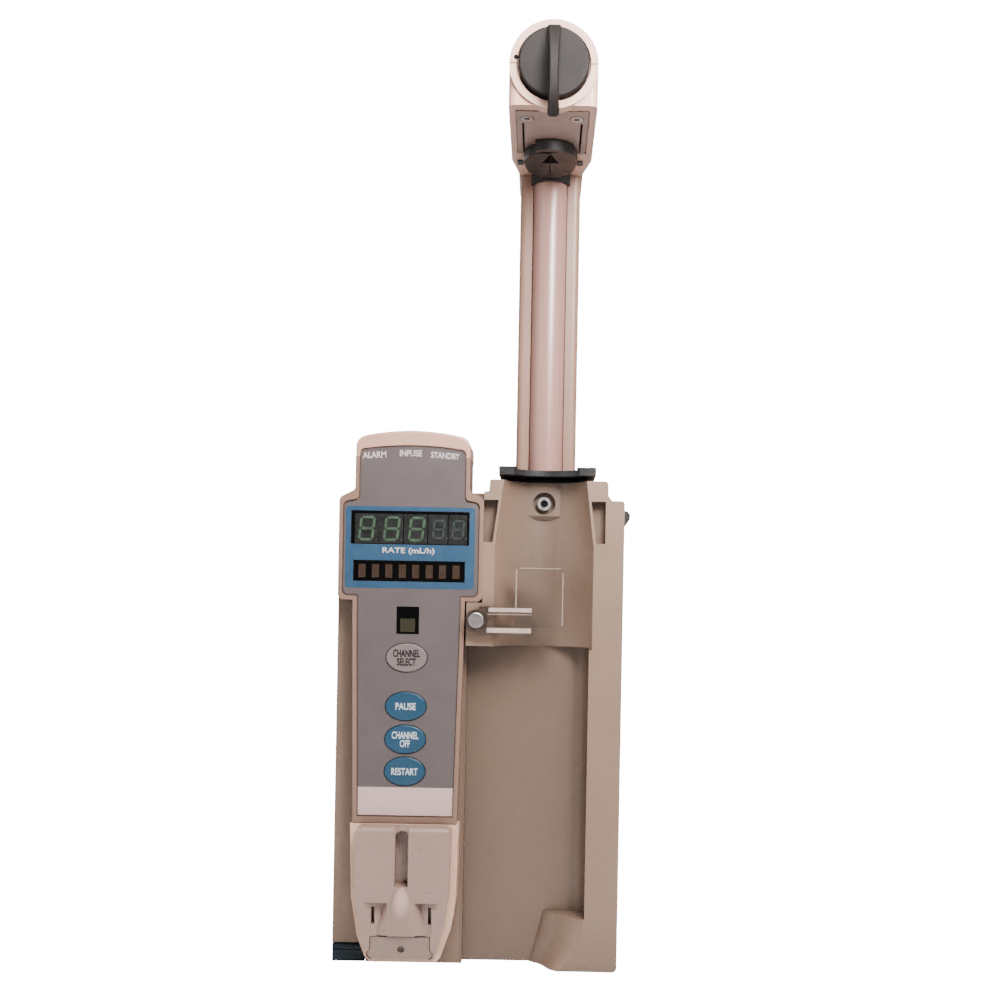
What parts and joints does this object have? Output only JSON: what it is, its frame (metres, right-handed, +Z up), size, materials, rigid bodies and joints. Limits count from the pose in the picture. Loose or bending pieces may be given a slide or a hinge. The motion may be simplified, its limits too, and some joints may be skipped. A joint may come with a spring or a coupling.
{
  "type": "infusion pump",
  "caption": "Upright syringe infusion pump module with a display and keys, a barrel trough and clamp, and a tall column whose head pushes the plunger down.",
  "frame": {"origin": "on the flat base, midway in depth and 60 mm from the right side face", "axes": "+Z up, front towards -Y, +X to the right of somebody facing the front"},
  "size_m": [0.1259, 0.1905, 0.381],
  "materials": {
    "case": "fine moulded texture, warm beige",
    "bezel": "smooth moulded beige",
    "dome": "translucent light beige",
    "label": "printed polyester film, grey",
    "window": "dark tinted window",
    "display": "dark display modules",
    "key_grey": "light grey key",
    "key_blue": "blue key",
    "board": "green circuit board",
    "holder": "off-white moulded plastic",
    "steel": "machined steel",
    "tube": "light satin coated tube",
    "clear": "clear moulded acrylic",
    "black": "black moulded plastic",
    "latch": "dark blue-green moulded plastic",
    "knob": "dark grey textured plastic",
    "head": "smooth moulded light beige",
    "brass": "turned brass",
    "aluminium": "satin",
    "rubber": "black seal",
    "frame_metal": "plated sheet"
  },
  "bodies": {
    "housing": {"front_case": "case", "rear_case": "case", "rear_label": "label", "case_screws": "steel", "display_bezel": "bezel", "alarm_dome": "dome", "front_label": "label", "rate_window": "window", "message_window": "window", "channel_window": "window", "display_modules": "display", "alarm_lamps": "board", "display_board": "board", "main_board": "board", "transducer_surround": "bezel", "pressure_disc_holder": "holder", "pressure_sensor": "steel", "clamp_spring": "steel", "gripper_springs": "steel", "latch_spring": "steel", "mounting_hook": "black", "hook_receiver": "black", "connector_right": "black", "connector_left": "black", "contact_pins": "brass", "drive_frame": "frame_metal", "stepper_motor": "frame_metal", "screw_bearings": "steel", "guide_rods": "steel", "column_wiper": "rubber"},
    "key_select": {"key_select": "key_grey"},
    "key_pause": {"key_pause": "key_blue"},
    "key_off": {"key_off": "key_blue"},
    "key_restart": {"key_restart": "key_blue"},
    "disc_release": {"disc_release_tab": "holder"},
    "flange_jaw": {"flange_gripper": "black"},
    "clamp_slider": {"clamp_shaft": "steel"},
    "clamp_arm": {"barrel_clamp": "clear"},
    "latch": {"release_latch": "latch"},
    "pinion": {"motor_pinion": "brass"},
    "screw": {"drive_gear": "brass", "lead_screw": "steel"},
    "drive_head": {"carriage": "aluminium", "guide_bushes": "brass", "column_cover": "case", "drive_tube": "tube", "tube_collar": "rubber", "head_lower_case": "head", "head_upper_case": "head", "plunger_plate_frame": "head", "head_screws": "steel", "load_cell": "aluminium", "gripper_hub": "black"},
    "knob": {"gripper_knob": "knob", "knob_shaft": "steel"},
    "release_rod": {"release_rod": "steel"},
    "half_nut": {"half_nut": "brass"},
    "plunger_plate": {"plunger_plate": "head"},
    "finger_left": {"finger_left": "black"},
    "finger_right": {"finger_right": "black"}
  },
  "joints": [
    {"name": "press_select", "type": "slide", "parent": "housing", "child": "key_select", "axis": [0, 1, 0], "range_m": [0, 0.0008], "stiffness_N_per_m": 1500},
    {"name": "press_pause", "type": "slide", "parent": "housing", "child": "key_pause", "axis": [0, 1, 0], "range_m": [0, 0.0008], "stiffness_N_per_m": 1500},
    {"name": "press_off", "type": "slide", "parent": "housing", "child": "key_off", "axis": [0, 1, 0], "range_m": [0, 0.0008], "stiffness_N_per_m": 1500},
    {"name": "press_restart", "type": "slide", "parent": "housing", "child": "key_restart", "axis": [0, 1, 0], "range_m": [0, 0.0008], "stiffness_N_per_m": 1500},
    {"name": "disc_tab_press", "type": "hinge", "parent": "housing", "child": "disc_release", "pos_m": [-0.0307, -0.0744, 0.0136], "axis": [1, 0, 0], "range_deg": [0, 6], "stiffness_Nm_per_rad": 0.5},
    {"name": "flange_jaw_lift", "type": "slide", "parent": "housing", "child": "flange_jaw", "axis": [0, 0, 1], "range_m": [0, 0.0025], "stiffness_N_per_m": 600, "deforming": ["gripper_springs"]},
    {"name": "clamp_pull", "type": "slide", "parent": "housing", "child": "clamp_slider", "axis": [0, -1, 0], "range_m": [0, 0.018], "stiffness_N_per_m": 150, "deforming": ["clamp_spring"]},
    {"name": "clamp_swing", "type": "hinge", "parent": "clamp_slider", "child": "clamp_arm", "pos_m": [-0.0016, -0.072, 0.1473], "axis": [0, 1, 0], "range_deg": [0, 90]},
    {"name": "latch_press", "type": "slide", "parent": "housing", "child": "latch", "axis": [0, 1, 0], "range_m": [0, 0.004], "stiffness_N_per_m": 600, "deforming": ["latch_spring"]},
    {"name": "screw_spin", "type": "hinge", "parent": "housing", "child": "screw", "pos_m": [0.0264, 0.008, 0.1], "axis": [0, 0, 1], "continuous": true},
    {"name": "pinion_spin", "type": "hinge", "parent": "housing", "child": "pinion", "pos_m": [0.0264, 0.0272, 0.009], "axis": [0, 0, 1], "continuous": true},
    {"name": "head_slide", "type": "slide", "parent": "housing", "child": "drive_head", "axis": [0, 0, 1], "range_m": [-0.122, 0]},
    {"name": "knob_twist", "type": "hinge", "parent": "drive_head", "child": "knob", "pos_m": [0.0266, -0.11, 0.3637], "axis": [0, 1, 0], "range_deg": [0, 60], "stiffness_Nm_per_rad": 0.12},
    {"name": "release_rod_turn", "type": "hinge", "parent": "drive_head", "child": "release_rod", "pos_m": [0.0264, -0.0334, 0.25], "axis": [0, 0, 1], "range_deg": [0, 60]},
    {"name": "half_nut_release", "type": "slide", "parent": "drive_head", "child": "half_nut", "axis": [0, -1, 0], "range_m": [0, 0.0026]},
    {"name": "finger_left_open", "type": "hinge", "parent": "drive_head", "child": "finger_left", "pos_m": [0.0189, -0.0537, 0.345], "axis": [0, 0, -1], "range_deg": [0, 36.2]},
    {"name": "finger_right_open", "type": "hinge", "parent": "drive_head", "child": "finger_right", "pos_m": [0.0331, -0.0537, 0.345], "axis": [0, 0, 1], "range_deg": [0, 36.2]},
    {"name": "plunger_plate_press", "type": "slide", "parent": "drive_head", "child": "plunger_plate", "axis": [0, 0, 1], "range_m": [0, 0.0008], "stiffness_N_per_m": 3000}
  ],
  "couplings": [
    {"joint": "pinion_spin", "follows": "screw_spin", "ratio": -3},
    {"joint": "finger_left_open", "follows": "knob_twist", "ratio": 0.6},
    {"joint": "finger_right_open", "follows": "knob_twist", "ratio": 0.6},
    {"joint": "release_rod_turn", "follows": "knob_twist", "ratio": 1},
    {"joint": "half_nut_release", "follows": "knob_twist", "m_per_rad": 0.00238}
  ]
}
